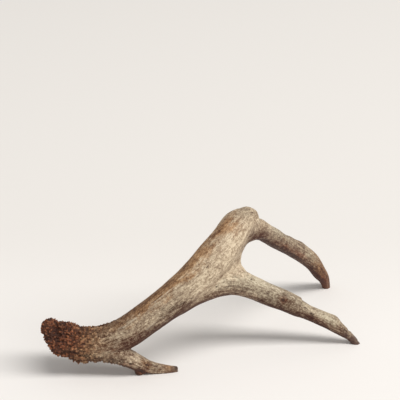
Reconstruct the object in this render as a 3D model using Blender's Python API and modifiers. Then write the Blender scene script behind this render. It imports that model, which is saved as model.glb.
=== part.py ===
"""A shed deer antler, lying on a flat surface.

The antler grew as one bone. It is built as one skin and then split at its three forks into
the main beam, with the burr and the rounded top knob, and its three tines. Each tine meets
the beam across a flat joint with a hair of clearance.

Stations are given in millimetres as (x, y, z, radius). The floor is at z = 0, +X runs from
the burr to the tips, and +Y runs away from the brow tine. The finished antler is moved
sideways so that its origin is the middle of its footprint, on the floor.
"""

import math
import random

import bmesh
import bpy
from mathutils import Matrix, Vector

MM = 0.001

# ---------------------------------------------------------------- driving dimensions (mm)

MAIN_BEAM = [
    (64, 4, 38.5, 16.5),
    (72, 3.5, 37.5, 16.4),
    (82, 3, 35, 15.8),
    (93, 3, 33, 16),
    (104, 3, 33.5, 16.4),
    (116, 3.5, 37, 16.2),
    (128, 4.5, 43, 15.6),
    (150, 8, 58.5, 15.3),
    (173, 13, 76, 15.6),
    (198, 21, 97, 16.6),
    (211, 29, 109.5, 17),
    (226, 44, 122, 16.2),
    (236, 58, 131.5, 15),
    (245, 69, 132, 12.5),
]

UPPER_TINE = [
    (238, 64, 121, 12),
    (254, 78, 118, 10.8),
    (268, 94, 104, 9.2),
    (281, 109, 87.5, 8.4),
    (294, 124, 72.5, 8.4),
    (307, 138, 57.5, 8.6),
    (318, 150, 42, 8.2),
    (326, 158, 26.5, 7.3),
    (333, 166, 13, 5.9),
    (337, 170, -1, 4.3),
]

LOWER_TINE = [
    (172, 13, 71, 12.5),
    (184, 16, 77.5, 13.3),
    (196, 20, 83, 13.8),
    (208, 26, 85, 13.8),
    (221, 32, 84.5, 13.4),
    (235, 38, 81, 12.4),
    (248.5, 43, 73, 10.8),
    (272, 48, 59, 10),
    (285, 50, 52, 9.6),
    (297, 52, 44.5, 9.2),
    (306, 53, 39.5, 7.6),
    (321, 54, 30.5, 7),
    (333, 55, 22.5, 6.4),
    (344, 55.5, 13.5, 4.6),
    (352, 56, 6.5, 3.2),
    (358, 56, -0.5, 2.2),
]

BROW_TINE = [
    (110, 0, 27, 11.5),
    (120, -1, 25.5, 11.5),
    (129, -1, 21, 10),
    (138.5, 1, 14, 8.3),
    (150, 3, 7.3, 6.3),
    (161, 4, 4.2, 4.6),
    (171, 5, 2.7, 3.6),
    (178, 6, 2.2, 2.6),
]

# The web of bone that fills the crotch between the beam and the lower tine.
CROTCH_WEB = [
    (245, 70, 116, 9.7),
    (235, 57, 112.5, 9.8),
    (229.5, 46, 105, 10.2),
    (229.5, 40, 96.5, 10.2),
    (236.5, 39, 85.5, 9.8),
]

TOP_KNOB = (245, 69, 132, 12.6)
BROW_HEEL = (141.5, 1, 4.2, 4.8)

# Pearls under the foot of the beam that are large enough to carry load.
FOOT_PEARLS = [
    (78.5, -4, 21, 3.8),
    (84, -4, 19.8, 4.2),
    (90, -4, 18.6, 3.4),
]

# The burr is a knobbly ring round the foot of the beam, set askew to it.
BURR_CENTRE = (63, 4, 38.5)
BURR_FACING = (-0.82, 0, -0.57)
BURR_RING_RADIUS = 14.6
BURR_RING_THICKNESS = 5.2
BURR_FLARE = 1.4
BURR_SEAL_RADIUS = 16.5
BURR_SEAL_DEPTH = 5
BURR_KNOBS = 16
BURR_KNOB_RADIUS = (2.6, 4.2)

# Where each tine leaves the beam: a point on the joint, and the way the tine points.
BROW_JOINT = ((132, 2, 27), (0.5, 0, -0.866))
LOWER_JOINT = ((252, 44, 71), (0.83, 0.26, -0.495))
UPPER_JOINT = ((260, 85, 112), (0.55, 0.63, -0.55))
JOINT_GAP = 0.3
BROW_REACH = (60, 60)
LOWER_REACH = (150, 32)
UPPER_REACH = (175, 42)

SKIN_VOXEL = 1.2
SKIN_SMOOTHING = 10
SKIN_TRIANGLES = 9000
FLOOR_SLAB = 60

ANTLER = "deer_antler"
CUTTERS = "cutters"


# ---------------------------------------------------------------- small helpers

def millimetres(values):
    return Vector(values) * MM


def clear_scene():
    for old in list(bpy.data.objects):
        bpy.data.objects.remove(old, do_unlink=True)


def collection(name):
    made = bpy.data.collections.new(name)
    bpy.context.scene.collection.children.link(made)
    return made


def bone_material(name, colour, roughness):
    made = bpy.data.materials.new(name)
    made.use_nodes = True
    shader = made.node_tree.nodes["Principled BSDF"]
    shader.inputs["Base Color"].default_value = (*colour, 1)
    shader.inputs["Roughness"].default_value = roughness
    shader.inputs["Metallic"].default_value = 0
    made.diffuse_color = (*colour, 1)
    return made


def evaluated_mesh(obj):
    bpy.context.view_layer.update()
    graph = bpy.context.evaluated_depsgraph_get()
    return bpy.data.meshes.new_from_object(obj.evaluated_get(graph))


# ---------------------------------------------------------------- the shapes of the antler

def branch(stations):
    """Add a tapering branch: a curve through its stations, made a mesh with closed ends."""
    curve = bpy.data.curves.new("branch", "CURVE")
    curve.dimensions = "3D"
    curve.bevel_depth = MM
    curve.bevel_resolution = 5
    curve.resolution_u = 8
    curve.use_fill_caps = True
    spline = curve.splines.new("BEZIER")
    spline.bezier_points.add(len(stations) - 1)
    for point, (x, y, z, radius) in zip(spline.bezier_points, stations):
        point.co = millimetres((x, y, z))
        point.radius = radius
        point.handle_left_type = "AUTO"
        point.handle_right_type = "AUTO"
    guide = bpy.data.objects.new("branch", curve)
    bpy.context.scene.collection.objects.link(guide)
    mesh = evaluated_mesh(guide)
    bpy.data.objects.remove(guide, do_unlink=True)
    return welded(mesh)


def welded(mesh):
    shape = bmesh.new()
    shape.from_mesh(mesh)
    bmesh.ops.remove_doubles(shape, verts=shape.verts, dist=0.01 * MM)
    shape.to_mesh(mesh)
    shape.free()
    return mesh


def ball(x, y, z, radius, flatten=1.0, facing=(0, 0, 1)):
    """A ball of bone, pressed flat along the way it faces."""
    turn = Vector(facing).to_track_quat("Z", "Y").to_matrix().to_4x4()
    squash = Matrix.Diagonal((radius * MM, radius * MM, radius * flatten * MM, 1))
    shape = bmesh.new()
    bmesh.ops.create_uvsphere(
        shape,
        u_segments=24,
        v_segments=14,
        radius=1,
        matrix=Matrix.Translation(millimetres((x, y, z))) @ turn @ squash,
    )
    mesh = bpy.data.meshes.new("ball")
    shape.to_mesh(mesh)
    shape.free()
    return mesh


def burr():
    """The ring of knobs round the foot of the beam, and the domed seal inside it."""
    draw = random.Random(7)
    facing = Vector(BURR_FACING).normalized()
    centre = Vector(BURR_CENTRE)
    across = facing.to_track_quat("Z", "Y").to_matrix()
    shapes = [ball(*BURR_CENTRE, BURR_SEAL_RADIUS, BURR_SEAL_DEPTH / BURR_SEAL_RADIUS, facing)]
    for index in range(BURR_KNOBS):
        angle = 2 * math.pi * (index + draw.uniform(-0.2, 0.2)) / BURR_KNOBS
        out = across @ Vector((math.cos(angle), math.sin(angle), 0))
        small, large = BURR_KNOB_RADIUS
        knob = draw.uniform(small, large)
        ring_spot = centre + out * BURR_RING_RADIUS
        knob_spot = centre + out * (BURR_RING_RADIUS + BURR_RING_THICKNESS - 0.6 * knob)
        shapes.append(ball(*ring_spot, BURR_RING_THICKNESS + BURR_FLARE * out.z))
        shapes.append(ball(*knob_spot, knob))
    return shapes


def antler_skin():
    """All the shapes grown together into one smooth closed skin, standing on the floor."""
    shapes = [branch(stations) for stations in (MAIN_BEAM, UPPER_TINE, LOWER_TINE, BROW_TINE)]
    shapes.append(branch(CROTCH_WEB))
    shapes.append(ball(*TOP_KNOB))
    shapes.append(ball(*BROW_HEEL))
    shapes.extend(ball(*pearl) for pearl in FOOT_PEARLS)
    shapes.extend(burr())
    lump = bmesh.new()
    for mesh in shapes:
        lump.from_mesh(mesh)
        bpy.data.meshes.remove(mesh)
    mesh = bpy.data.meshes.new("skin")
    lump.to_mesh(mesh)
    lump.free()

    skin = bpy.data.objects.new("skin", mesh)
    bpy.context.scene.collection.objects.link(skin)
    remesh = skin.modifiers.new("grow together", "REMESH")
    remesh.mode = "VOXEL"
    remesh.voxel_size = SKIN_VOXEL * MM
    smooth = skin.modifiers.new("smooth", "SMOOTH")
    smooth.factor = 0.5
    smooth.iterations = SKIN_SMOOTHING
    dense = evaluated_mesh(skin)
    dense_triangles = sum(len(face.vertices) - 2 for face in dense.polygons)
    bpy.data.meshes.remove(dense)
    thin = skin.modifiers.new("fewer faces", "DECIMATE")
    thin.ratio = SKIN_TRIANGLES / dense_triangles
    finished = evaluated_mesh(skin)
    bpy.data.objects.remove(skin, do_unlink=True)
    return finished


def centre_footprint(mesh):
    """Move the skin so that the middle of its footprint is the origin; return the move."""
    xs = [vertex.co.x for vertex in mesh.vertices]
    ys = [vertex.co.y for vertex in mesh.vertices]
    move = Vector((-(min(xs) + max(xs)) / 2, -(min(ys) + max(ys)) / 2, 0))
    mesh.transform(Matrix.Translation(move))
    return move


# ---------------------------------------------------------------- the cutters

def cutter(name, matrix, size, cutters):
    """A box whose near face is centred on the matrix's origin and which reaches along +Z."""
    shape = bmesh.new()
    bmesh.ops.create_cube(shape, size=1)
    width, depth, height = size
    lift = Matrix.Translation((0, 0, height * MM / 2))
    grow = Matrix.Diagonal((width * MM, depth * MM, height * MM, 1))
    bmesh.ops.transform(shape, matrix=lift @ grow, verts=shape.verts)
    mesh = bpy.data.meshes.new(name)
    shape.to_mesh(mesh)
    shape.free()
    box = bpy.data.objects.new(name, mesh)
    box.matrix_world = matrix
    box.hide_render = True
    box.display_type = "WIRE"
    cutters.objects.link(box)
    return box


def tine_boxes(name, joint, reach, move, cutters):
    """Two boxes round a tine: one to keep it, and one a gap nearer the beam to clear it."""
    spot, pointing = joint
    length, half_width = reach
    way = Vector(pointing).normalized()
    turn = way.to_track_quat("Z", "Y").to_matrix().to_4x4()
    size = (2 * half_width, 2 * half_width, length)
    boxes = []
    for use, back in (("keep", 0), ("clear", JOINT_GAP)):
        place = Matrix.Translation(millimetres(spot) - way * back * MM + move)
        boxes.append(cutter(f"{name}_{use}", place @ turn, size, cutters))
    return boxes


def boolean(obj, operation, box):
    modifier = obj.modifiers.new(f"{operation.lower()} {box.name}", "BOOLEAN")
    modifier.operation = operation
    modifier.solver = "EXACT"
    modifier.object = box


# ---------------------------------------------------------------- the four pieces

def piece(name, skin, material, pieces):
    mesh = skin.copy()
    mesh.name = name
    mesh.materials.clear()
    mesh.materials.append(material)
    mesh.shade_smooth()
    made = bpy.data.objects.new(name, mesh)
    pieces.objects.link(made)
    return made


clear_scene()
antler = collection(ANTLER)
cutter_box = collection(CUTTERS)

skin = antler_skin()
move = centre_footprint(skin)

floor_place = Matrix.Translation((0, 0, -FLOOR_SLAB * MM))
floor = cutter("floor", floor_place, (500, 400, FLOOR_SLAB), cutter_box)
brow_keep, brow_clear = tine_boxes("brow", BROW_JOINT, BROW_REACH, move, cutter_box)
lower_keep, lower_clear = tine_boxes("lower", LOWER_JOINT, LOWER_REACH, move, cutter_box)
upper_keep, upper_clear = tine_boxes("upper", UPPER_JOINT, UPPER_REACH, move, cutter_box)

brown_bone = bone_material("weathered_brown_bone", (0.27, 0.17, 0.10), 0.62)
olive_bone = bone_material("weathered_olive_bone", (0.33, 0.25, 0.16), 0.65)
cream_bone = bone_material("worn_cream_bone", (0.42, 0.36, 0.25), 0.55)
grey_bone = bone_material("worn_grey_bone", (0.34, 0.28, 0.21), 0.55)

main_beam = piece("main_beam", skin, brown_bone, antler)
for box in (brow_clear, lower_clear, upper_clear):
    boolean(main_beam, "DIFFERENCE", box)

for name, box, material in (
    ("brow_tine", brow_keep, olive_bone),
    ("lower_tine", lower_keep, cream_bone),
    ("upper_tine", upper_keep, grey_bone),
):
    tine = piece(name, skin, material, antler)
    boolean(tine, "INTERSECT", box)
    boolean(tine, "DIFFERENCE", floor)

bpy.data.meshes.remove(skin)
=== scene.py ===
import math

import bmesh
import bpy
import numpy as np
from mathutils import Matrix, Vector, noise


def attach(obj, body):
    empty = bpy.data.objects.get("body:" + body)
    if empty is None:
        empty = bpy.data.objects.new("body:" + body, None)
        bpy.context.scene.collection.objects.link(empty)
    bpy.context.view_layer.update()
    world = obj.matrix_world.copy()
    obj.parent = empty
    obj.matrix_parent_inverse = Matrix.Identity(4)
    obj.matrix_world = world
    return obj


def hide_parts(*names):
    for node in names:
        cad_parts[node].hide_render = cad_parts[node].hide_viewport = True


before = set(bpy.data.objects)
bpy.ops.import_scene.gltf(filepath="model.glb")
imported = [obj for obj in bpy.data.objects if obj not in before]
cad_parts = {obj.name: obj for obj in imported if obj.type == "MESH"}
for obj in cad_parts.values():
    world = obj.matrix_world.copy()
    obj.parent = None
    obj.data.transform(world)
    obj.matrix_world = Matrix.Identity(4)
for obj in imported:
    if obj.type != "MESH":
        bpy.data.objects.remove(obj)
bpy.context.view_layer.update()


# ---------------------------------------------------------------------------
# Main beam
# The trunk of a shed antler, one piece of hard bone with the tines that grow
# out of it. The whole bone gets one skin first, so the grain runs across every
# fork, and each piece is then cut from that skin at its joint.
# ---------------------------------------------------------------------------

MM = 0.001
SKIN_GRID = 0.70 * MM            # spacing of the points on the finished skin
SKIN_SWELL = 0.22 * MM           # closes the hairline between the pieces
FIRST_GRID = 1.1 * MM            # spacing of the points while the hollows are filled out
FIRST_ROUNDING = 24              # rounding steps on the first skin
LAST_ROUNDING = 6                # rounding steps on the finished skin
FILL_STEPS = 90                  # filling steps in the hollows
# Hollows that the bone fills out: a centre and how far the filling reaches, in millimetres.
FILLED_HOLLOWS = [
    # The widened fork, and where the upper tine leaves the knob.
    ((26, -48, 103), 19),
    ((50, -12, 121), 15),
    ((57, 2, 121), 15),
    # The neck behind the burr, all the way round.
    ((-137, -70, 52), 19),
    ((-140, -80, 48), 15),
    ((-139, -87, 40), 14),
    ((-131, -74, 56), 14),
    ((-133, -92, 42), 16),
    ((-133, -56, 42), 16),
    # The heel of the brow tine, and the back of the widened fork.
    ((-61, -80, 6), 12),
    ((28, -18, 112), 20),
]

# The middle of each branch from root to tip, in millimetres, and below it the branch's mean radius.
BRANCH_LINES = {
    "main_beam": [(-140, -74, 38), (-122, -75, 35), (-100, -75, 33.5), (-76, -74, 43), (-54, -70, 58.5),
                  (-31, -65, 76), (-6, -57, 97), (22, -34, 122), (41, -9, 132)],
    "brow_tine": [(-94, -78, 27), (-75, -79, 21), (-54, -75, 7), (-33, -73, 3), (-26, -72, 2)],
    "lower_tine": [(-32, -65, 71), (-8, -58, 83), (17, -46, 84.5), (45, -35, 73), (81, -28, 52),
                   (117, -24, 30), (148, -22, 6.5), (154, -22, 0)],
    "upper_tine": [(34, -14, 121), (64, 16, 104), (90, 46, 72), (114, 72, 42), (129, 88, 13),
                   (133, 92, -1)],
}
BRANCH_RADIUS = {"main_beam": 16.0, "brow_tine": 9.0, "lower_tine": 12.0, "upper_tine": 10.0}

# Where each tine is joined to the beam: a point of the joint and the way the tine leaves it.
JOINTS = {
    "brow_tine": ((-71.7, -76.4, 27), (0.5, 0, -0.866)),
    "lower_tine": ((48.3, -34.4, 71), (0.83, 0.26, -0.495)),
    "upper_tine": ((56.3, 6.6, 112), (0.55, 0.63, -0.55)),
}

BURR_CENTRE = np.array((-141.0, -74.0, 38.5))


def smooth(low, high, x):
    """0 at low, 1 at high and smooth between them; low may be the larger of the two."""
    t = np.clip((x - low) / (high - low), 0.0, 1.0)
    return t * t * (3.0 - 2.0 * t)


def noise_at(places, size, shift=0.0):
    """Smooth noise from -1 to 1 at each place, with lumps of that size."""
    size = np.asarray(size, float)
    return np.array([noise.noise(p) for p in (places / size + shift).tolist()])


PEARL_FLANK = 2.2                # how steeply a pearl rises from its crevice


def cells_at(places, size, shift=0.0):
    """How far each place is inside its own pearl: 0 in the crevice between pearls, 1 on top."""
    found = np.array([noise.voronoi(p)[0][:2] for p in (places / size + shift).tolist()])
    return np.clip((found[:, 1] - found[:, 0]) * PEARL_FLANK, 0.0, 1.0)


def neighbour_pull(places, edges):
    """The way from each point of the skin to the middle of its neighbours."""
    a, b = edges.T
    count = np.bincount(np.concatenate((a, b)), minlength=len(places)).astype(float)[:, None]
    return np.stack([
        np.bincount(a, places[b, i], len(places)) + np.bincount(b, places[a, i], len(places))
        for i in range(3)], axis=1) / count - places


ROUNDING_IN = 0.55               # steps in and out by turns, so that the bone does not shrink
ROUNDING_OUT = -0.57


def rounded(places, edges, steps):
    """Takes the facets out of the skin without shrinking it."""
    for step in range(steps):
        turn = ROUNDING_IN if step % 2 == 0 else ROUNDING_OUT
        places = places + neighbour_pull(places, edges) * turn
    return places


def corner_normals(places, quads):
    """The way each point of the skin faces."""
    across = places[quads[:, 2]] - places[quads[:, 0]]
    down = places[quads[:, 3]] - places[quads[:, 1]]
    facing = np.cross(across, down)
    total = np.zeros_like(places)
    for corner in quads.T:
        for i in range(3):
            total[:, i] += np.bincount(corner, facing[:, i], len(places))
    return total / np.maximum(np.linalg.norm(total, axis=1)[:, None], 1e-12)


FILL_PULL = 0.9                  # share of the way to its neighbours that a hollow point moves


def filled(places, quads, edges, share, steps):
    """Fills the hollows of the skin where share is above 0, and leaves its crests."""
    for _ in range(steps):
        pull = neighbour_pull(places, edges)
        hollow = (pull * corner_normals(places, quads)).sum(1) > 0
        places = places + pull * (FILL_PULL * share * hollow)[:, None]
    return places


def regrid(mesh, grid):
    """The mesh as one closed skin on a grid: its points in millimetres, its faces and its edges."""
    holder = bpy.data.objects.new("skin", mesh)
    bpy.context.scene.collection.objects.link(holder)
    remesh = holder.modifiers.new("grid", "REMESH")
    remesh.mode = "VOXEL"
    remesh.voxel_size = grid
    worked_out = holder.evaluated_get(bpy.context.evaluated_depsgraph_get())
    made = bpy.data.meshes.new_from_object(worked_out)
    bpy.data.objects.remove(holder)
    places = np.empty(len(made.vertices) * 3)
    made.vertices.foreach_get("co", places)
    quads = np.empty(len(made.polygons) * 4, dtype=np.int64)
    made.loops.foreach_get("vertex_index", quads)
    edges = np.empty(len(made.edges) * 2, dtype=np.int64)
    made.edges.foreach_get("vertices", edges)
    bpy.data.meshes.remove(made)
    return places.reshape(-1, 3) / MM, quads.reshape(-1, 4), edges.reshape(-1, 2)


def whole_skin():
    """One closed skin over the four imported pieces, with its hollows filled out."""
    joined = bmesh.new()
    for name in BRANCH_LINES:
        part = bmesh.new()
        part.from_mesh(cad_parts[name].data)
        part.normal_update()
        for vertex in part.verts:
            vertex.co += vertex.normal * SKIN_SWELL
        swollen = bpy.data.meshes.new("swollen")
        part.to_mesh(swollen)
        joined.from_mesh(swollen)
        part.free()
        bpy.data.meshes.remove(swollen)
    mesh = bpy.data.meshes.new("skin")
    joined.to_mesh(mesh)
    joined.free()
    places, quads, edges = regrid(mesh, FIRST_GRID)
    places = rounded(places, edges, FIRST_ROUNDING)
    share = np.zeros(len(places))
    for centre, radius in FILLED_HOLLOWS:
        far = np.linalg.norm(places - centre, axis=1)
        share = np.maximum(share, smooth(radius, radius * 0.5, far))
    places = filled(places, quads, edges, share, FILL_STEPS)
    mesh = bpy.data.meshes.new("skin")
    mesh.from_pydata((places * MM).tolist(), [], quads.tolist())
    places, quads, edges = regrid(mesh, SKIN_GRID)
    return rounded(places, edges, LAST_ROUNDING), quads


STEPS_PER_CORNER = 12            # points worked out on a branch's middle between two of its corners
BLOCK = 20000                    # places looked at together


def branch_places(places, corners):
    """Each place in the branch's own lengths: how far along it, and how far out to either side.
    Also how far it is from the branch's middle, and the branch's direction and crown there."""
    corners = np.array(corners, float)
    padded = np.vstack((2 * corners[0] - corners[1], corners, 2 * corners[-1] - corners[-2]))
    steps = np.linspace(0, 1, STEPS_PER_CORNER, endpoint=False)[:, None]
    middle = []
    for p0, p1, p2, p3 in zip(padded, padded[1:], padded[2:], padded[3:]):
        middle.append(0.5 * (2 * p1 + (p2 - p0) * steps + (2 * p0 - 5 * p1 + 4 * p2 - p3) * steps ** 2
                             + (3 * p1 - p0 - 3 * p2 + p3) * steps ** 3))
    middle = np.vstack(middle + [corners[-1:]])
    direction = np.gradient(middle, axis=0)
    direction /= np.linalg.norm(direction, axis=1)[:, None]
    length = np.concatenate(([0.0], np.cumsum(np.linalg.norm(np.diff(middle, axis=0), axis=1))))
    nearest = np.empty(len(places), dtype=np.int64)
    for start in range(0, len(places), BLOCK):
        block = places[start:start + BLOCK]
        nearest[start:start + BLOCK] = np.argmin(
            (middle ** 2).sum(1)[None, :] - 2 * block @ middle.T, axis=1)
    out = places - middle[nearest]
    along_here = direction[nearest]
    level = np.cross(np.tile((0.0, 0.0, 1.0), (len(places), 1)), along_here)
    level /= np.maximum(np.linalg.norm(level, axis=1)[:, None], 1e-9)
    upright = np.cross(along_here, level)
    ahead = (out * along_here).sum(1)
    own = np.stack((length[nearest] + ahead, (out * level).sum(1), (out * upright).sum(1)), axis=1)
    return own, np.linalg.norm(out, axis=1), along_here, upright


skin, skin_faces = whole_skin()
grain, reach, heading, crown = {}, {}, {}, {}
for branch, corners in BRANCH_LINES.items():
    grain[branch], reach[branch], heading[branch], crown[branch] = branch_places(skin, corners)

# The tine that each point is nearest to, and how far it has left the beam's grain for the tine's.
CHANGE_OVER = 0.35               # half of the stretch in which the grain changes, in branch radii
tines = list(JOINTS)
lead = np.stack([
    reach["main_beam"] / BRANCH_RADIUS["main_beam"] - reach[tine] / BRANCH_RADIUS[tine]
    for tine in tines], 1)
nearest_tine = lead.argmax(1)
tine_share = smooth(-CHANGE_OVER, CHANGE_OVER, lead.max(1))
tine_grain = np.choose(nearest_tine[:, None], [grain[tine] for tine in tines])
tine_heading = np.choose(nearest_tine[:, None], [heading[tine] for tine in tines])
tine_crown = np.choose(nearest_tine[:, None], [crown[tine] for tine in tines])
bone_heading = heading["main_beam"] * (1 - tine_share)[:, None] + tine_heading * tine_share[:, None]
bone_heading /= np.linalg.norm(bone_heading, axis=1)[:, None]
bone_crown = crown["main_beam"] * (1 - tine_share)[:, None] + tine_crown * tine_share[:, None]

TINE_SHIFT = 31.7                # keeps the tines' noise apart from the beam's


def along_grain(length, width, shift=0.0):
    """Noise drawn out along the grain, on the beam and on the tines."""
    size = (length, width, width)
    return (noise_at(grain["main_beam"], size, shift) * (1 - tine_share)
            + noise_at(tine_grain, size, shift + TINE_SHIFT) * tine_share)


LOWER_FRONT = (0.0, -0.438, -0.899)        # the way that the lower front of the bone faces
BACKWARD_LEAN = (0.0, 0.5, 0.0)            # leans the crown back to where the rusty band runs
facing = corner_normals(skin, skin_faces)
side = (facing * bone_crown).sum(1)        # 1 on the crown of each branch, -1 on its underside
edge_way = bone_crown + BACKWARD_LEAN
edge_way /= np.linalg.norm(edge_way, axis=1)[:, None]
over = (facing * edge_way).sum(1)          # 1 on the back of the crown, -1 under the front
belly = (facing * LOWER_FRONT).sum(1)      # 1 on the lower front of the bone
from_burr = np.linalg.norm(skin - BURR_CENTRE, axis=1)

# Relief, in millimetres: slow swells, flutes along the grain, and pearls that crowd round the burr.
KNOBBY_ROOT = (-80, -84, 19)
swells = 0.35 * noise_at(skin, 22.0)
flutes = 0.34 * along_grain(38, 4.2) + 0.20 * along_grain(16, 1.9, 7.3)
knobby_root = np.linalg.norm(skin - KNOBBY_ROOT, axis=1)
pearl_share = (0.60 * smooth(50, 16, from_burr)                                 # on the burr
               + 0.45 * smooth(64, 28, from_burr)                               # on its neck
               + 0.12 * smooth(100, 50, from_burr)                              # up the root
               + 0.45 * smooth(64, 50, from_burr) * smooth(0.4, 0.85, side)     # on the root's crown
               + 0.75 * smooth(64, 46, from_burr) * smooth(-0.1, -0.6, side)    # under the root
               + 0.6 * smooth(20, 8, knobby_root) * smooth(0.3, -0.3, side))    # under the brow root
big_pearls = cells_at(skin, 2.9)
small_pearls = cells_at(skin, 1.7, 5.1)
pearls = pearl_share * (0.95 * (big_pearls - 0.70) + 0.55 * (small_pearls - 0.6)
                        + 1.20 * noise_at(skin, 3.4, 2.0) + 0.95 * noise_at(skin, 1.9, 6.0))
fine_grit = 0.08 * noise_at(skin, 1.4, 4.0)
relief = flutes * smooth(35, 80, from_burr) + pearls + fine_grit

# Places where the bone stands prouder or lower: the place, its radius and the height.
RISES = [
    # On the top of the burr's neck, on the burr's two edges and under the root.
    ((-131, -72, 56), 11, 0.2),
    ((-122, -72, 55), 10, -1.2),
    ((-137, -72, 57), 5, 0.9),
    ((-153, -86, 50), 6, -1.8),
    ((-147, -92, 35), 8, 0.7),
    ((-110, -80, 21), 9, 1.2),
    ((-102, -82, 20), 8, 2.0),
    ((-127, -84, 25), 6, -1.0),
    # In the fork of the brow tine and along its top.
    ((-69, -76, 29), 6, -3.2),
    ((-62, -77, 21), 8, -1.2),
    ((-50, -75, 13), 9, -0.9),
    # On the shoulder and the point of the lower tine.
    ((131, -24, 30), 8, 2.2),
    ((151, -24, 2), 7, 1.6),
    # Along the upper tine, and on top of its root.
    ((97, 57, 72), 11, 1.5),
    ((86, 45, 86), 7, 0.8),
    ((109, 62, 40), 16, 0.4),
    ((72, 20, 86), 14, 0.4),
    ((62, 15, 114), 17, -1.5),
    # Under the beam, half-way up.
    ((-24, -69, 68), 13, 1.2),
]
RISE_FADE = 1.4                  # how soon a rise fades away past its radius
for place, radius, rise in RISES:
    swells += rise * np.exp(-((skin - place) ** 2).sum(1) / radius ** 2 * RISE_FADE)
# The lower front of the bone is fuller past the root, and more so on the tines.
swells += (0.8 + 0.5 * tine_share) * smooth(0.35, 0.95, belly) * smooth(60, 100, from_burr)
skin = skin + facing * (swells + relief)[:, None]

# The fork between the long tines is a clean round hollow, scooped along an axis.
FORK_MIDDLE = (48.0, -19.2, 103.9)
FORK_AXIS = (0.0, 0.899, -0.438)
FORK_RADIUS = 8.0
FORK_SOFTNESS = 1.2              # how gently the hollow runs out into the bone
away = skin - FORK_MIDDLE
depthwise = (away * FORK_AXIS).sum(1)
away -= depthwise[:, None] * FORK_AXIS
apart = np.linalg.norm(away, axis=1)
push = FORK_SOFTNESS * np.log1p(np.exp((FORK_RADIUS - apart) / FORK_SOFTNESS))
push = push * smooth(16, 9, apart) * smooth(32, 20, np.abs(depthwise))
skin += away / apart[:, None] * push[:, None]
skin[:, 2] = np.maximum(skin[:, 2], 0.0)

# The tones that each point of the bone carries: the relief in millimetres, and the rest from 0 to about
# 1. The brown pales from the burr to the knob. It darkens on the underside and on the lower front,
#    partly
# a real stain and partly painted shade, and a little along the back of the crown. The rust is a band
# along the back of the crown and a stain on the burr.
ragged = noise_at(skin, 2.6, 9.0)
patches = along_grain(16, 6, 3.0)
on_beam = 1 - tine_share
past_root = smooth(50, 90, from_burr)
up_the_beam = smooth(135, 185, from_burr)
under_root = smooth(20, 8, knobby_root) * smooth(0.3, -0.3, side)
# Where the brown is partly a real stain and partly painted shade: the underside and the lower front.
underside_stain_and_shade = np.maximum(smooth(-0.70, -1.0, over), smooth(-0.5, -1.0, side))
lower_front_stain_and_shade = smooth(0.12, 1.0, belly + 0.12 * ragged)
band = smooth(-0.25, 0.60, over + 0.14 * ragged + 0.32 * patches - 0.27 - 0.34 * up_the_beam)
burr_distances = [12, 24, 42, 65, 85, 105, 150, 200]
burr_browns = [0.78, 0.64, 0.61, 0.655, 0.60, 0.45, 0.265, 0.19]
brown = (np.interp(from_burr, burr_distances, burr_browns)
         + (0.16 * smooth(0.1, -0.75, over) + 0.38 * underside_stain_and_shade) * smooth(30, 80, from_burr)
         + (0.34 - 0.10 * tine_share) * lower_front_stain_and_shade * past_root
         + 0.20 * smooth(0.55, 0.95, over) * on_beam)
rust = ((0.95 - 0.25 * up_the_beam) * band * smooth(40, 85, from_burr) * smooth(225, 190, from_burr)
        * on_beam + 0.80 * smooth(78, 22, from_burr))
tone = {
    "relief": relief,
    "pearl": np.maximum(smooth(68, 26, from_burr), 0.8 * under_root),
    "wrinkle": smooth(22, 45, from_burr) * smooth(125, 80, from_burr),
    "tine_share": tine_share,
    "brown": brown,
    "rust": rust,
    "streak": 1 - 0.6 * smooth(140, 180, from_burr) * on_beam,
    # Red: a stain on the burr, and a dark red on the lower front past the root that is partly a real
    # tint and partly painted shade.
    "red": 0.9 * smooth(50, 8, from_burr) + 0.3 * smooth(0.3, 0.95, belly) * past_root,
    "grey": np.zeros(len(skin)),
    "dark": np.zeros(len(skin)),
    "pale": np.zeros(len(skin)),
    "tip": np.zeros(len(skin)),
}


RAGGEDNESS = 0.9                 # how torn the outline of a mark is
MARK_FADE = 0.9                  # how soon a mark fades away past its size
STRONGEST = 1.2                  # no tone goes past this


def dab(word, place, along, across, strength=1.0, share=1.0):
    """Adds a soft ragged mark to a tone, drawn out along the grain; a strength below 0 takes away."""
    away = skin - place
    ahead = (away * bone_heading).sum(1)
    aside_squared = np.maximum((away ** 2).sum(1) - ahead ** 2, 0.0)
    spread = (ahead / along) ** 2 + aside_squared / across ** 2
    amount = np.exp(-np.maximum(spread * (1 + RAGGEDNESS * ragged), 0.0) * MARK_FADE)
    tone[word] = np.clip(tone[word] + strength * share * amount, 0.0, STRONGEST)


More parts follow.
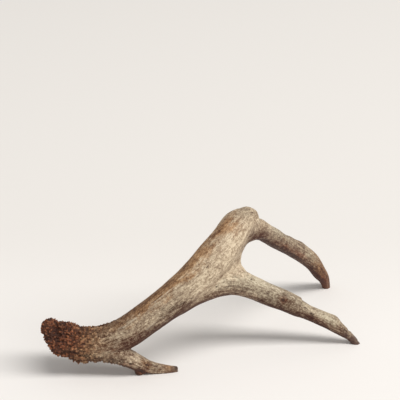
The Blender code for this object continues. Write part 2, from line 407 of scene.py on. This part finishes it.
# Marks on the beam: the tone, the place, the length along the grain, the width and the strength.
BEAM_MARKS = [
    # The burr: red brown, with a rusty upper lobe.
    ("red", (-141, -88, 49), 7, 14, 0.5),
    ("brown", (-140, -88, 47), 7, 13, 0.3),
    ("dark", (-139, -88, 48), 5, 11, 0.25),
    ("rust", (-146, -74, 55), 5, 6, 0.9),
    ("brown", (-146, -74, 55), 5, 6, -0.22),
    # Its neck: reddish, then rusty, and lighter below.
    ("red", (-128, -86, 49), 9, 8, 0.25),
    ("rust", (-122, -84, 48), 13, 10, 0.6),
    ("brown", (-124, -84, 47), 9, 9, -0.10),
    ("brown", (-116, -88, 34), 12, 7, -0.12),
    # The root: a grey sheen above and a red brown underside.
    ("grey", (-93, -84, 48), 12, 7, 0.25),
    ("grey", (-79, -88, 48), 12, 7, 0.35),
    ("grey", (-100, -90, 40), 10, 5, 0.15),
    ("red", (-66, -88, 46), 12, 6, 0.22),
    ("brown", (-66, -88, 46), 12, 6, 0.08),
    ("red", (-84, -90, 36), 16, 5, 0.2),
    ("brown", (-84, -90, 35), 20, 7, 0.06),
    ("red", (-72, -88, 37), 12, 5, 0.12),
    # Long pale scratches up the beam.
    ("pale", (-70, -83, 60), 16, 1.1, 0.55),
    ("pale", (-51, -79, 71), 15, 1.0, 0.6),
    ("pale", (-37, -75, 86), 18, 1.0, 0.6),
    ("pale", (-20, -71, 97), 16, 1.0, 0.5),
    ("pale", (-4, -65, 113), 16, 1.0, 0.55),
    ("pale", (-44, -80, 71), 12, 1.0, 0.5),
    # Pale and grey patches half-way up, round a small dark knot.
    ("pale", (-51, -86, 58), 12, 4, 0.35),
    ("brown", (-51, -85, 60), 16, 6, -0.12),
    ("grey", (-37, -82, 71), 16, 7, 0.4),
    ("brown", (-37, -83, 68), 14, 7, -0.06),
    ("pale", (-30, -83, 70), 14, 2.2, 0.35),
    ("grey", (-22, -78, 79), 12, 7, 0.3),
    ("dark", (-24, -79, 77), 4.5, 1.1, 0.6),
    ("dark", (-19, -78, 79), 2, 2.0, 0.45),
    ("dark", (-12, -76, 83), 1.5, 1.1, 0.7),
    ("brown", (-22, -79, 78), 9, 4.5, 0.30),
    ("brown", (-33, -70, 90), 18, 5, 0.14),
    # The widened fork: pale in its middle, and brown along its lower edge, partly a real stain and
    # partly painted shade.
    ("brown", (-4, -75, 88), 17, 7, -0.30),
    ("pale", (-6, -75, 87), 14, 3, 0.25),
    ("brown", (-12, -77, 76), 16, 2.5, 0.30),
    ("brown", (9, -68, 97), 18, 6, -0.14),
    ("brown", (27, -55, 110), 15, 9, -0.22),
    ("brown", (32, -50, 90), 22, 8, 0.05),
    ("brown", (7, -66, 80), 16, 5, 0.26),
    ("brown", (24, -56, 78), 14, 5, 0.16),
    # The rusty back edge below the knob, with two dark cracks.
    ("rust", (19, -35, 138), 11, 5, 0.5),
    ("brown", (12, -40, 134), 10, 3, 0.35),
    ("dark", (10, -40, 134), 9, 0.8, 0.45),
    ("dark", (15, -38, 136), 7, 0.7, 0.4),
    ("rust", (30, -39, 137), 10, 7, 0.3),
    # The knob, brown with a grey cap and a dark crack, and the beam just below it.
    ("brown", (40, -24, 138), 14, 12, 0.14),
    ("brown", (14, -58, 121), 24, 10, 0.14),
    ("grey", (40, -20, 145), 13, 9, 0.5),
    ("brown", (36, -26, 142), 14, 8, 0.10),
    ("dark", (49, -14, 139), 5, 1.4, 0.35),
    ("brown", (50, -13, 138), 8, 4, 0.3),
    ("rust", (5, -60, 119), 26, 9, 0.15),
    # Dark specks and pale streaks on the widened fork.
    ("dark", (3, -68, 112), 1.5, 0.8, 0.65),
    ("dark", (16, -62, 116), 1.3, 0.8, 0.6),
    ("dark", (12, -63, 88), 1.5, 1.1, 0.7),
    ("dark", (23, -58, 85), 1.4, 1.0, 0.65),
    ("dark", (31, -42, 107), 2.0, 1.0, 0.6),
    ("brown", (32, -42, 104), 7, 3, 0.3),
    ("pale", (18, -56, 112), 22, 9, 0.15),
    ("pale", (8, -64, 100), 26, 4, 0.22),
    # A grey sheen with specks where the lower tine leaves the beam.
    ("grey", (20, -59, 89), 17, 6, 0.55),
    ("grey", (39, -49, 83), 15, 6, 0.6),
    ("grey", (50, -43, 78), 16, 9, 0.65),
    ("brown", (39, -49, 80), 20, 5, 0.26),
    ("dark", (45, -43, 84), 2.0, 1.2, 0.6),
    ("grey", (58, -40, 75), 16, 8, 0.7),
    ("grey", (66, -38, 71), 14, 8, 0.6),
    ("dark", (62, -41, 68), 2.4, 1.3, 0.6),
    ("brown", (62, -41, 65), 12, 4, 0.16),
    # The pale tops of the two long tines' roots.
    ("pale", (60, -36, 78), 12, 2.4, 0.6),
    ("pale", (68, 6, 114), 14, 4, 0.35),
    # Painted shade, reddish brown, in the hollow where the upper tine leaves the beam and under its
    # root.
    ("brown", (72, 12, 93), 20, 7, 0.26),
    ("brown", (56, -8, 116), 18, 9, 0.6),
    ("red", (57, -10, 114), 14, 6, 0.25),
    ("brown", (46, -20, 116), 10, 5, 0.28),
]
for mark in BEAM_MARKS:
    dab(*mark)

# Which piece each face of the skin belongs to: a tine's faces are past its joint and near to it.
PIECE_NAMES = ["main_beam"] + tines
NEAR_TINE = -0.3                 # the least lead over the beam that counts as near a tine
middle_of_face = skin[skin_faces].mean(1)
first_corner = skin_faces[:, 0]
piece_of_face = np.zeros(len(skin_faces), dtype=np.int64)
for number, (point, way) in enumerate(JOINTS.values()):
    past = (middle_of_face - point) @ np.array(way) > 0
    near = lead[first_corner, number] > NEAR_TINE
    piece_of_face[past & near & (nearest_tine[first_corner] == number)] = number + 1
CAP_DEPTH = 0.4 * MM             # how far the cap inside a joint is drawn in


def cut_piece(name):
    """The part of the skin that belongs to one piece, closed inside at its joints."""
    faces = skin_faces[piece_of_face == PIECE_NAMES.index(name)]
    used, index = np.unique(faces, return_inverse=True)
    mesh = bpy.data.meshes.new(name)
    mesh.from_pydata((skin[used] * MM).tolist(), [], index.reshape(-1, 4).tolist())
    shell = bmesh.new()
    shell.from_mesh(mesh)
    rims = [e for e in shell.edges if e.is_boundary]
    for cap in bmesh.ops.holes_fill(shell, edges=rims, sides=0)["faces"]:
        cap.normal_update()
        push = cap.normal * -CAP_DEPTH
        bmesh.ops.poke(shell, faces=[cap])["verts"][0].co += push
    shell.to_mesh(mesh)
    shell.free()
    mesh.polygons.foreach_set("use_smooth", [True] * len(mesh.polygons))
    normals = np.tile((0.0, 0.0, 1.0), (len(mesh.vertices), 1))
    normals[:len(used)] = corner_normals(skin, skin_faces)[used]
    mesh.normals_split_custom_set_from_vertices(normals.tolist())
    for word, values in tone.items():
        layer = np.zeros(len(mesh.vertices), np.float32)
        layer[:len(used)] = values[used]
        mesh.attributes.new(word, "FLOAT", "POINT").data.foreach_set("value", layer)
    for word, values in (("grain", grain["main_beam"]), ("tine_grain", tine_grain)):
        layer = np.zeros((len(mesh.vertices), 3), np.float32)
        layer[:len(used)] = values[used]
        mesh.attributes.new(word, "FLOAT_VECTOR", "POINT").data.foreach_set("vector", layer.ravel())
    piece = bpy.data.objects.new(name + "_bone", mesh)
    bpy.context.scene.collection.objects.link(piece)
    return piece


def place_node(tree, kind, inputs=(), output=0, **settings):
    """A node with its settings; an input takes a number, a colour or another node's output."""
    made = tree.nodes.new(kind)
    for word, value in settings.items():
        setattr(made, word, value)
    for socket, value in dict(inputs).items():
        if isinstance(value, bpy.types.NodeSocket):
            tree.links.new(value, made.inputs[socket])
        else:
            made.inputs[socket].default_value = value
    return made.outputs[output]


def reckon(tree, operation, *values):
    """A sum, a difference or a product of numbers and outputs."""
    return place_node(tree, "ShaderNodeMath", enumerate(values), operation=operation)


def between(tree, value, low, high):
    """0 below low, 1 above high, and smooth between them."""
    return place_node(tree, "ShaderNodeMapRange", {"Value": value, "From Min": low, "From Max": high},
                      interpolation_type="SMOOTHSTEP")


MIX_AMOUNT = 0                   # the mix node's sockets: how much of the second input is taken,
UNDER_COLOUR = 6                 # its two colours
OVER_COLOUR = 7
MIXED_COLOUR = 2                 # and the output that gives them mixed


def coat_over(tree, amount, under, over, blend="MIX"):
    """One colour laid over another where amount is above 0."""
    return place_node(tree, "ShaderNodeMix",
                      {MIX_AMOUNT: amount, UNDER_COLOUR: under, OVER_COLOUR: over}, MIXED_COLOUR,
                      data_type="RGBA", blend_type=blend)


def tone_of(tree, word, output="Fac"):
    """One of the tones, or of the grains, that the skin carries at each point."""
    return place_node(tree, "ShaderNodeAttribute", (), output, attribute_name=word)


def new_group(name, inputs, outputs):
    """A node group with its own inputs, given as name, kind and value, and its outputs."""
    tree = bpy.data.node_groups.new(name, "ShaderNodeTree")
    for word, kind, value in inputs:
        tree.interface.new_socket(word, in_out="INPUT", socket_type=kind).default_value = value
    for word, kind in outputs:
        tree.interface.new_socket(word, in_out="OUTPUT", socket_type=kind)
    return tree, tree.nodes.new("NodeGroupInput").outputs, tree.nodes.new("NodeGroupOutput").inputs


# Noise drawn out along the beam's grain, and along each tine's own grain where it has left the beam.
grain_group, given, given_out = new_group(
    "bone grain", [("Length", "NodeSocketFloat", 10.0), ("Width", "NodeSocketFloat", 1.0)],
    [("Grain", "NodeSocketFloat")])
size = place_node(grain_group, "ShaderNodeCombineXYZ",
                  {0: given["Length"], 1: given["Width"], 2: given["Width"]})
strands = []
for word in ("grain", "tine_grain"):
    own_grain = tone_of(grain_group, word, "Vector")
    scaled = place_node(grain_group, "ShaderNodeVectorMath", {0: own_grain, 1: size}, operation="DIVIDE")
    strands.append(place_node(grain_group, "ShaderNodeTexNoise",
                              {"Vector": scaled, "Scale": 1.0, "Detail": 3.0, "Roughness": 0.6}))
BEAM_STRANDS = 2                 # the mix node's two number inputs
TINE_STRANDS = 3
blended = place_node(grain_group, "ShaderNodeMix", {MIX_AMOUNT: tone_of(grain_group, "tine_share"),
                                                    BEAM_STRANDS: strands[0], TINE_STRANDS: strands[1]})
grain_group.links.new(blended, given_out["Grain"])

# The colour, gloss and fine surface of antler, from the tones of each point.
BONE_COLOURS = [
    ("Fresh", (0.68, 0.565, 0.405, 1)),
    ("Tan", (0.435, 0.335, 0.230, 1)),
    ("Brown", (0.20, 0.135, 0.088, 1)),
    ("Deep", (0.068, 0.024, 0.012, 1)),
    ("Rust tint", (0.87, 0.655, 0.48, 1)),
    ("Grey tint", (0.84, 0.89, 0.91, 1)),
    ("Red tint", (0.66, 0.36, 0.28, 1)),
    ("Dark", (0.042, 0.020, 0.013, 1)),
    ("Chip", (0.78, 0.68, 0.52, 1)),
    # The pearls' lighter tops: worn bone with a painted highlight.
    ("Pearl top and highlight", (0.41, 0.20, 0.105, 1)),
    ("Tip", (0.09, 0.045, 0.032, 1)),
]
bone_group, given, given_out = new_group(
    "antler bone",
    [(word, "NodeSocketColor", value) for word, value in BONE_COLOURS]
    + [("Speckle", "NodeSocketFloat", 0.7), ("Streaks", "NodeSocketFloat", 1.0),
       ("Mottle", "NodeSocketFloat", 1.0)],
    [("Color", "NodeSocketColor"), ("Roughness", "NodeSocketFloat"), ("Height", "NodeSocketFloat")])


def grain_noise(tree, length, width):
    """Noise with strands of that length and width, in millimetres."""
    made = tree.nodes.new("ShaderNodeGroup")
    made.node_tree = grain_group
    made.inputs["Length"].default_value = length
    made.inputs["Width"].default_value = width
    return made.outputs["Grain"]


def swing(tree, value, strength):
    """Noise as a swing either way of nothing."""
    return reckon(tree, "MULTIPLY", reckon(tree, "SUBTRACT", value, 0.5), strength)


def patchy(tree, word, texture, strength, low, high):
    """A tone broken up by noise, 0 below low and 1 above high."""
    broken = reckon(tree, "ADD", tone_of(tree, word), swing(tree, texture, strength))
    return between(tree, broken, low, high)


tree = bone_group
fine = grain_noise(tree, 14, 1.1)
coarse = grain_noise(tree, 32, 2.2)
mottle = grain_noise(tree, 5.5, 3.6)
speck = grain_noise(tree, 2.4, 1.6)
grit = grain_noise(tree, 1.25, 1.1)
wrinkle = grain_noise(tree, 1.3, 2.6)

# How deep the brown is: the tone of the place, swung by streaks, mottle, specks and wrinkles.
streaks = reckon(tree, "ADD", swing(tree, fine, 0.85), swing(tree, coarse, 0.95))
streak_share = reckon(tree, "MULTIPLY", given["Streaks"], tone_of(tree, "streak"))
streaks = reckon(tree, "MULTIPLY", streaks, streak_share)
mottled = reckon(tree, "MULTIPLY", swing(tree, mottle, 1.15), given["Mottle"])
specks = reckon(tree, "ADD", swing(tree, speck, 1.0), swing(tree, grit, 1.4))
wrinkled = reckon(tree, "MULTIPLY", tone_of(tree, "wrinkle"), swing(tree, wrinkle, 0.9))
depth = reckon(tree, "ADD", tone_of(tree, "brown"), reckon(tree, "ADD", streaks, mottled))
depth = reckon(tree, "ADD", depth, specks)
depth = reckon(tree, "ADD", depth, wrinkled)
colour = coat_over(tree, between(tree, depth, -0.08, 0.40), given["Fresh"], given["Tan"])
colour = coat_over(tree, between(tree, depth, 0.26, 0.82), colour, given["Brown"])
colour = coat_over(tree, between(tree, depth, 0.72, 1.15), colour, given["Deep"])
for word, tint in (("rust", "Rust tint"), ("grey", "Grey tint"), ("red", "Red tint")):
    share = patchy(tree, word, mottle, 1.0, 0.05, 0.85)
    share = reckon(tree, "MULTIPLY", share, between(tree, tone_of(tree, word), 0.0, 0.12))
    colour = coat_over(tree, share, colour, given[tint], "MULTIPLY")

# Coats over the brown, each with its strength: pits, pale scratches, tips, pearls and dark marks. The
# pearls' tops are lighter, partly worn and partly a painted highlight, and the crevices between them are
# darker, partly a stain and partly painted shade.
pit_noise = reckon(tree, "ADD", grit, swing(tree, mottle, 0.25))
pits = reckon(tree, "MULTIPLY", between(tree, pit_noise, 0.60, 0.75), given["Speckle"])
pale = patchy(tree, "pale", fine, 1.1, 0.25, 0.75)
tip = patchy(tree, "tip", mottle, 0.9, 0.15, 0.85)
relief_here = tone_of(tree, "relief")
pearl_here = tone_of(tree, "pearl")
# Lighter pearl tops, partly worn and partly a painted highlight.
pearl_top_wear_and_highlight = reckon(tree, "MULTIPLY", between(tree, relief_here, 0.10, 0.80), pearl_here)
# Darker crevices between the pearls, partly a stain and partly painted shade.
sunken = reckon(tree, "MULTIPLY", relief_here, -1.0)
crevice = reckon(tree, "MULTIPLY", between(tree, sunken, 0.05, 0.75), pearl_here)
dark = patchy(tree, "dark", speck, 0.7, 0.22, 0.70)
for amount, strength, paint in ((pits, 0.7, "Brown"), (pale, 0.75, "Chip"), (tip, 0.8, "Tip"),
                                (pearl_top_wear_and_highlight, 0.42, "Pearl top and highlight"), (crevice, 0.7, "Dark"),
                                (dark, 0.88, "Dark")):
    colour = coat_over(tree, reckon(tree, "MULTIPLY", amount, strength), colour, given[paint])
tree.links.new(colour, given_out["Color"])
tree.links.new(reckon(tree, "ADD", reckon(tree, "MULTIPLY", fine, 0.2), 0.46), given_out["Roughness"])
height = reckon(tree, "ADD", reckon(tree, "MULTIPLY", fine, 0.7), reckon(tree, "MULTIPLY", speck, 0.5))
holes = reckon(tree, "ADD", reckon(tree, "MULTIPLY", pits, 0.35), reckon(tree, "MULTIPLY", dark, 0.4))
tree.links.new(reckon(tree, "SUBTRACT", height, holes), given_out["Height"])
FINE_DEPTH = 0.5 * MM            # how deep the fine surface is cut


def bone_material(name, tip, speckle, streaks, mottle):
    """Antler bone with one piece's own tip colour and shares of speckle, streaks and mottle."""
    material = bpy.data.materials.new(name)
    material.use_nodes = True
    tree = material.node_tree
    shader = tree.nodes["Principled BSDF"]
    bone = tree.nodes.new("ShaderNodeGroup")
    bone.node_tree = bone_group
    bone.inputs["Tip"].default_value = tip
    bone.inputs["Speckle"].default_value = speckle
    bone.inputs["Streaks"].default_value = streaks
    bone.inputs["Mottle"].default_value = mottle
    relief_node = tree.nodes.new("ShaderNodeBump")
    relief_node.inputs["Distance"].default_value = FINE_DEPTH
    tree.links.new(bone.outputs["Height"], relief_node.inputs["Height"])
    tree.links.new(bone.outputs["Color"], shader.inputs["Base Color"])
    tree.links.new(bone.outputs["Roughness"], shader.inputs["Roughness"])
    tree.links.new(relief_node.outputs["Normal"], shader.inputs["Normal"])
    shader.inputs["Specular IOR Level"].default_value = 0.22
    return material


main_beam = cut_piece("main_beam")
main_beam_bone = bone_material("beam bone", (0.09, 0.045, 0.032, 1), 0.6, 1.0, 1.0)
main_beam.data.materials.append(main_beam_bone)
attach(main_beam, "root")
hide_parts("main_beam")


# ---------------------------------------------------------------------------
# Brow tine
# The short tine that leaves the beam low down and lies along the ground, of
# the same bone. Its root is knobby and pitted, and its tip is broken off.
# ---------------------------------------------------------------------------

def past_joint(tine):
    """How far each point has gone past a tine's joint, in millimetres, and 0 on the other branches."""
    point, way = JOINTS[tine]
    on_tine = (nearest_tine == tines.index(tine)) & (lead.max(1) > NEAR_TINE)
    return np.maximum((skin - point) @ np.array(way), 0.0) * on_tine


BROW_MARKS = [
    # The knobby root: a red stain with dark pits.
    ("dark", (-83, -90, 21), 3, 1.6, 0.5),
    ("dark", (-77, -89, 18), 3, 1.6, 0.55),
    ("red", (-78, -89, 19), 12, 5, 0.4),
    # Pits along the front, down to the heel on the ground.
    ("dark", (-70, -87, 18), 2.5, 1.8, 0.8),
    ("dark", (-64, -84, 12), 2.2, 1.6, 0.8),
    ("dark", (-60, -82, 7), 4, 2.5, 0.9),
    ("red", (-60, -82, 6), 5, 4, 0.9),
    ("brown", (-61, -82, 8), 6, 4, 0.35),
    # A dark knot with a rusty ring, above the heel.
    ("dark", (-55, -81, 12), 1.6, 1.3, 0.9),
    ("brown", (-55, -81, 12), 4, 3.2, 0.3),
    ("rust", (-55, -80, 12), 6, 4, 0.8),
    # Pale chips on the front, and a grey top.
    ("pale", (-67, -86, 22), 1.5, 1.1, 0.4),
    ("pale", (-62, -83, 20), 9, 3, 0.4),
    ("grey", (-50, -80, 11), 12, 6, 0.5),
    # The outer end, browner towards the broken tip.
    ("brown", (-44, -77, 5), 12, 2.4, 0.25),
    ("dark", (-40, -76, 3), 2, 1, 0.6),
    ("rust", (-34, -75, 5), 8, 5, 0.6),
    ("dark", (-27, -73, 3), 2.4, 4, 0.7),
    ("tip", (-27, -73, 3), 5, 6, 0.8),
]
BROW_BROWN = 0.56                # the tine's own brown, in place of the beam's
BROW_DRAW_OUT = 1.0              # how far the end is drawn out, in millimetres
beyond = smooth(0, 8, past_joint("brow_tine"))
# The tine's underside is made browner, partly a real stain and partly painted shade.
under_tine_stain_and_shade = 0.4 * beyond * smooth(-0.3, -0.8, side)
tone["brown"] = tone["brown"] + (BROW_BROWN - tone["brown"]) * 0.9 * beyond + under_tine_stain_and_shade
tone["rust"] = tone["rust"] * (1 - 0.8 * beyond)
drawn_out = BROW_DRAW_OUT * smooth(-32, -27, skin[:, 0]) * beyond
skin = skin + heading["brow_tine"] * drawn_out[:, None]
for mark in BROW_MARKS:
    dab(*mark, share=beyond)
brow_tine = cut_piece("brow_tine")
brow_tine_bone = bone_material("brow tine bone", (0.085, 0.048, 0.036, 1), 0.9, 1.1, 1.1)
brow_tine.data.materials.append(brow_tine_bone)
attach(brow_tine, "root")
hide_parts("brow_tine")


# ---------------------------------------------------------------------------
# Lower tine
# The long front tine. The top of its outer half has scaled off, which leaves
# a small step, and its tip is worn down to a slanted dark point.
# ---------------------------------------------------------------------------

LOWER_MARKS = [
    # The inner half: pale along its top, with a dark red knot in the middle.
    ("pale", (72, -34, 69), 10, 2.0, 0.5),
    ("brown", (77, -36, 62), 6, 5, 0.25),
    ("dark", (77, -38, 59), 2.4, 2.0, 0.9),
    ("red", (77, -38, 59), 4.5, 3.5, 0.8),
    ("rust", (84, -37, 54), 8, 4.5, 0.35),
    ("red", (92, -35, 49), 8, 4, 0.25),
    ("brown", (86, -36, 55), 12, 6, 0.22),
    ("pale", (87, -33, 60), 9, 1.6, 0.7),
    # Short cracks below the step, and a dark red underside.
    ("dark", (101, -32, 46), 4, 0.9, 0.85),
    ("dark", (106, -32, 40), 4, 0.9, 0.85),
    ("dark", (97, -32, 51), 2.2, 1.2, 0.7),
    ("brown", (106, -32, 36), 14, 3.2, 0.32),
    ("red", (112, -32, 33), 16, 4, 0.35),
    ("dark", (108, -32, 36), 6, 0.8, 0.6),
    # The scaled top of the outer half, pale and grey.
    ("pale", (115, -28, 39), 14, 4, 0.2),
    ("brown", (116, -28, 40), 15, 5, -0.1),
    ("pale", (127, -28, 31), 8, 3, 0.15),
    ("grey", (124, -28, 32), 12, 6, 0.4),
    ("grey", (92, -35, 56), 20, 8, 0.4),
    # The worn tip, reddish and then dark, with cracks.
    ("red", (135, -28, 20), 9, 3.5, 0.3),
    ("brown", (137, -28, 19), 8, 6, 0.2),
    ("tip", (140, -26, 17), 6, 9, 0.3),
    ("tip", (147, -25, 9), 7, 9, 0.45),
    ("tip", (154, -24, 1), 7, 8, 0.9),
    ("dark", (150, -26, 6), 5, 2.5, 0.35),
    ("dark", (143, -27, 11), 4, 1.2, 0.5),
    ("dark", (141, -27, 17), 3, 1, 0.6),
    ("dark", (128, -27, 20), 12, 1.2, 0.5),
]
length_past = past_joint("lower_tine")
beyond = smooth(0, 12, length_past)
lower_browns = np.interp(length_past, [0, 20, 38, 50, 62, 95, 105],
                         [0.00, 0.15, 0.27, 0.22, 0.12, 0.14, 0.36])
tone["brown"] = tone["brown"] + beyond * lower_browns
# The underside is made browner, partly a real stain and partly painted shade.
tone["brown"] = tone["brown"] + beyond * (0.05 + 0.10 * smooth(0.0, -0.5, side))
tone["grey"] = tone["grey"] + beyond * 0.4

# The step, where the scaled part of the top begins.
LOWER_STEP = (96, -31, 52)
STEP_DEPTH = 1.9
step_at = branch_places(np.array([LOWER_STEP], float), BRANCH_LINES["lower_tine"])[0][0, 0]
past_step = grain["lower_tine"][:, 0] - step_at
stepped = smooth(0, 1.2, past_step) * smooth(34, 12, past_step)
skin = skin - bone_crown * (STEP_DEPTH * stepped * smooth(0.15, 0.85, side) * beyond)[:, None]

# The slanted face worn on the tip, with a nick in it, and the point drawn out fine.
WORN_FACE = (134.2, 0, 29.3)
WORN_WAY = np.array((0.80, 0.0, 0.60))
NICK_AT = 145                    # the nick's place along x
NICK_HALF_WIDTH = 2.6
NICK_DEPTH = 1.3
LOWER_DRAW_OUT = 1.4
nick = NICK_DEPTH * smooth(NICK_HALF_WIDTH, 0, np.abs(skin[:, 0] - NICK_AT))
above = ((skin - WORN_FACE) @ WORN_WAY + nick) * beyond
skin = skin - WORN_WAY * np.clip(above, 0, None)[:, None]
drawn_out = LOWER_DRAW_OUT * smooth(148, 154, skin[:, 0]) * beyond
skin = skin + heading["lower_tine"] * drawn_out[:, None]
skin[:, 2] = np.maximum(skin[:, 2], 0.0)
for mark in LOWER_MARKS:
    dab(*mark, share=beyond)
lower_tine = cut_piece("lower_tine")
lower_tine_bone = bone_material("lower tine bone", (0.095, 0.055, 0.046, 1), 0.8, 1.0, 0.75)
lower_tine.data.materials.append(lower_tine_bone)
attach(lower_tine, "root")
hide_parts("lower_tine")


# ---------------------------------------------------------------------------
# Upper tine
# The hind tine, which hooks down to the ground. It is stained brown along its
# underside and dark red at its blunt tip, with two dark cracks on top.
# ---------------------------------------------------------------------------

UPPER_MARKS = [
    # The root: a grey top, two rusty spots and a small pale chip.
    ("pale", (80, 24, 100), 12, 2.4, 0.2),
    ("grey", (76, 20, 104), 16, 6, 0.5),
    ("rust", (81, 22, 94), 4, 3, 0.5),
    ("rust", (85, 28, 83), 6, 3, 0.45),
    ("pale", (86, 31, 90), 2, 1.5, 0.55),
    # Two dark cracks on top, and a reddish underside.
    ("dark", (90, 36, 87), 5, 0.8, 0.9),
    ("dark", (97, 44, 79), 5, 0.8, 0.8),
    ("brown", (96, 42, 76), 12, 6, 0.12),
    ("red", (82, 24, 85), 22, 4, 0.4),
    ("red", (99, 44, 65), 18, 4, 0.45),
    # A painted grey highlight on the bend, with a pale line on top.
    ("grey", (112, 59, 54), 12, 5, 0.8),
    ("brown", (112, 59, 54), 10, 4, -0.14),
    ("pale", (104, 52, 66), 12, 1.5, 0.4),
    # The rusty outer end and its dark red tip.
    ("rust", (124, 74, 25), 16, 9, 0.8),
    ("red", (128, 80, 16), 14, 9, 0.5),
    ("tip", (133, 87, 4), 8, 9, 0.9),
    ("tip", (129, 80, 16), 8, 9, 0.35),
]
length_past = past_joint("upper_tine")
beyond = smooth(0, 12, length_past)
upper_browns = np.interp(length_past, [0, 25, 45, 70, 90, 110, 125],
                         [0.00, 0.20, 0.38, 0.37, 0.28, 0.40, 0.50])
tone["brown"] = tone["brown"] + beyond * upper_browns
tone["brown"] = tone["brown"] + beyond * 0.14 * smooth(0.6, 0.1, side)
# Painted light: the underside below the front is made paler, standing in for light falling there.
tone["brown"] = tone["brown"] - beyond * 0.30 * smooth(0.0, -0.6, over)
tone["rust"] = tone["rust"] + beyond * smooth(75, 105, length_past) * 0.35
tone["grey"] = tone["grey"] + beyond * smooth(110, 60, length_past) * 0.35
for mark in UPPER_MARKS:
    dab(*mark, share=beyond)
upper_tine = cut_piece("upper_tine")
upper_tine_bone = bone_material("upper tine bone", (0.125, 0.046, 0.026, 1), 0.5, 0.9, 0.6)
upper_tine.data.materials.append(upper_tine_bone)
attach(upper_tine, "root")
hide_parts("upper_tine")


# ---------------------------------------------------------------------------
# Floor, light and camera
# A pale paper sweep on the ground, a long soft lamp over the right shoulder
# and a pale room.
# ---------------------------------------------------------------------------

floor_mesh = bpy.data.meshes.new("floor")
floor_mesh.from_pydata([(-5, -3, 0), (5, -3, 0), (5, 8, 0), (-5, 8, 0)], [], [(0, 1, 2, 3)])
floor = bpy.data.objects.new("floor", floor_mesh)
bpy.context.scene.collection.objects.link(floor)

# The paper darkens a little from near to far: painted shade, for the lamp's light falling off with
# distance.
NEAR_PAPER = (0.85, 0.825, 0.80, 1)
FAR_PAPER_SHADED = (0.795, 0.77, 0.74, 1)
paper = bpy.data.materials.new("pale paper")
paper.use_nodes = True
paper_tree = paper.node_tree
paper_shader = paper_tree.nodes["Principled BSDF"]
OWN_PLACE = 3                    # which output of the coordinate node gives the floor's own places
Y_PART = 1                       # which output of the separate node gives y
floor_place = place_node(paper_tree, "ShaderNodeTexCoord", (), OWN_PLACE)
far_off = place_node(paper_tree, "ShaderNodeSeparateXYZ", {0: floor_place}, Y_PART)
paper_colour = coat_over(paper_tree, between(paper_tree, far_off, -0.04, 0.24), NEAR_PAPER, FAR_PAPER_SHADED)
paper_tree.links.new(paper_colour, paper_shader.inputs["Base Color"])
paper_shader.inputs["Roughness"].default_value = 0.9
paper_shader.inputs["Specular IOR Level"].default_value = 0.1
floor_mesh.materials.append(paper)

ROOM_LIGHT = (1.0, 0.985, 0.965)
world = bpy.data.worlds.new("studio")
world.use_nodes = True
room = world.node_tree.nodes["Background"]
room.inputs["Color"].default_value = (*ROOM_LIGHT, 1)
room.inputs["Strength"].default_value = 0.475
bpy.context.scene.world = world

LAMP_WAY = Vector((0.62, -0.36, 1.0)).normalized()      # from the antler to the lamp
LAMP_DISTANCE = 7.0
lamp_data = bpy.data.lights.new("long lamp", "AREA")
lamp_data.shape = "RECTANGLE"
lamp_data.size = 9.5
lamp_data.size_y = 2.1
lamp_data.energy = 508
lamp_data.color = ROOM_LIGHT
lamp = bpy.data.objects.new("long lamp", lamp_data)
lamp_long = (Vector((1, 0, 0)) - LAMP_WAY * LAMP_WAY.x).normalized()
lamp.matrix_world = Matrix((lamp_long, LAMP_WAY.cross(lamp_long), LAMP_WAY)).transposed().to_4x4()
lamp.location = LAMP_WAY * LAMP_DISTANCE
bpy.context.scene.collection.objects.link(lamp)

camera_data = bpy.data.cameras.new("camera")
camera_data.lens = 117
camera_data.sensor_width = 36
camera = bpy.data.objects.new("camera", camera_data)
camera.location = (-0.0037, -1.1324, 0.7008)
camera.rotation_euler = (math.radians(64), 0, 0)        # looks down by 26 degrees
bpy.context.scene.collection.objects.link(camera)
bpy.context.scene.camera = camera
bpy.context.scene.view_settings.view_transform = "Standard"
